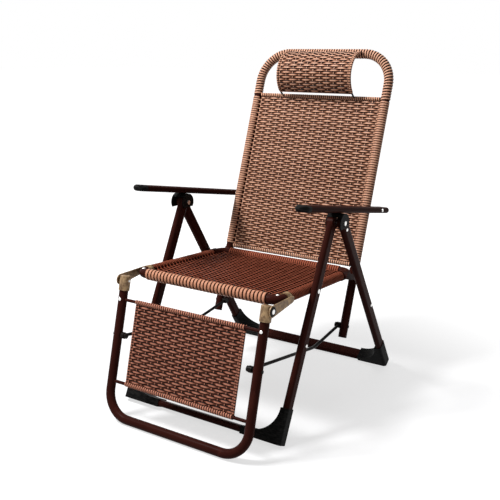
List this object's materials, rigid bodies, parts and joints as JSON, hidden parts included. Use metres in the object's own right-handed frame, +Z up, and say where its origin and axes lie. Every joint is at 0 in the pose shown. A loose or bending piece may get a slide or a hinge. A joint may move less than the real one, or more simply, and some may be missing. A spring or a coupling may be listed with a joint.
{
  "type": "reclining folding lounge chair",
  "caption": "Folding lounge chair on a tube frame, with woven seat, back and headrest, a footrest that link rods lift as the back leans, and arms that slide on the leg tops.",
  "frame": {"origin": "middle of the chair's overall width and depth, on the floor", "axes": "+X to the sitter's left, -Y the way the sitter faces, +Z up"},
  "size_m": [0.6416, 0.9546, 1.1056],
  "materials": {
    "frame_paint": "satin",
    "weave": "woven strand",
    "charcoal": "fine texture",
    "arm_brown": "satin",
    "bronze": "matt",
    "bright_pin": "polished",
    "black_rod": "satin"
  },
  "bodies": {
    "base": {"front_leg_frame": "frame_paint", "seat_frame": "frame_paint", "seat_weave": "weave", "front_foot_left": "charcoal", "front_foot_right": "charcoal", "arm_saddle_left": "charcoal", "arm_saddle_right": "charcoal", "leg_pin_left": "bright_pin", "leg_pin_right": "bright_pin", "seat_pin_left": "bright_pin", "seat_pin_right": "bright_pin", "seat_front_hinge_left": "bronze", "seat_front_hinge_right": "bronze", "seat_rear_hinge_left": "frame_paint", "seat_rear_hinge_right": "frame_paint", "footrest_pin_left": "bright_pin", "footrest_pin_right": "bright_pin", "recline_pin_left": "bright_pin", "recline_pin_right": "bright_pin"},
    "rear_legs": {"rear_leg_frame": "frame_paint", "rear_foot_left": "charcoal", "rear_foot_right": "charcoal"},
    "back": {"back_frame": "frame_paint", "back_weave": "weave", "back_wrap": "weave", "back_rod_upper": "black_rod", "back_rod_lower": "black_rod", "headrest_weave": "weave", "headrest_wire_left": "black_rod", "headrest_wire_right": "black_rod", "back_plug_left": "charcoal", "back_plug_right": "charcoal", "back_collar_left": "frame_paint", "back_collar_right": "frame_paint", "back_link_pin_left": "black_rod", "back_link_pin_right": "black_rod", "arm_pin_left": "bright_pin", "arm_pin_right": "bright_pin"},
    "footrest": {"footrest_frame": "frame_paint", "footrest_weave": "weave", "footrest_rod_upper": "frame_paint", "footrest_rod_lower": "frame_paint", "footrest_hinge_left": "bronze", "footrest_hinge_right": "bronze", "footrest_link_pin_left": "black_rod", "footrest_link_pin_right": "black_rod"},
    "link_rod_left": {"link_rod_left": "black_rod"},
    "arm_left": {"arm_left": "arm_brown", "arm_cap_left": "charcoal"},
    "link_rod_right": {"link_rod_right": "black_rod"},
    "arm_right": {"arm_right": "arm_brown", "arm_cap_right": "charcoal"}
  },
  "joints": [
    {"name": "fold", "type": "hinge", "parent": "base", "child": "rear_legs", "pos_m": [0, -0.01335, 0.604], "axis": [-1, 0, 0], "range_deg": [0, 56.5]},
    {"name": "recline", "type": "hinge", "parent": "base", "child": "back", "pos_m": [0, 0.18882, 0.37556], "axis": [-1, 0, 0], "range_deg": [0, 50]},
    {"name": "footrest_lift", "type": "hinge", "parent": "base", "child": "footrest", "pos_m": [0, -0.35631, 0.4201], "axis": [-1, 0, 0], "range_deg": [0, 50]},
    {"name": "link_turn_left", "type": "hinge", "parent": "back", "child": "link_rod_left", "pos_m": [0.232, 0.14591, 0.21313], "axis": [-1, 0, 0], "range_deg": [-50, 0]},
    {"name": "arm_turn_left", "type": "hinge", "parent": "back", "child": "arm_left", "pos_m": [0.2915, 0.28158, 0.58996], "axis": [-1, 0, 0], "range_deg": [-35, 0]},
    {"name": "link_turn_right", "type": "hinge", "parent": "back", "child": "link_rod_right", "pos_m": [-0.232, 0.14591, 0.21313], "axis": [-1, 0, 0], "range_deg": [-50, 0]},
    {"name": "arm_turn_right", "type": "hinge", "parent": "back", "child": "arm_right", "pos_m": [-0.2915, 0.28158, 0.58996], "axis": [-1, 0, 0], "range_deg": [-35, 0]}
  ],
  "couplings": [
    {"joint": "footrest_lift", "follows": "recline", "ratio": 1},
    {"joint": "link_turn_left", "follows": "recline", "ratio": -1},
    {"joint": "arm_turn_left", "follows": "recline", "ratio": -0.69},
    {"joint": "link_turn_right", "follows": "recline", "ratio": -1},
    {"joint": "arm_turn_right", "follows": "recline", "ratio": -0.69}
  ]
}
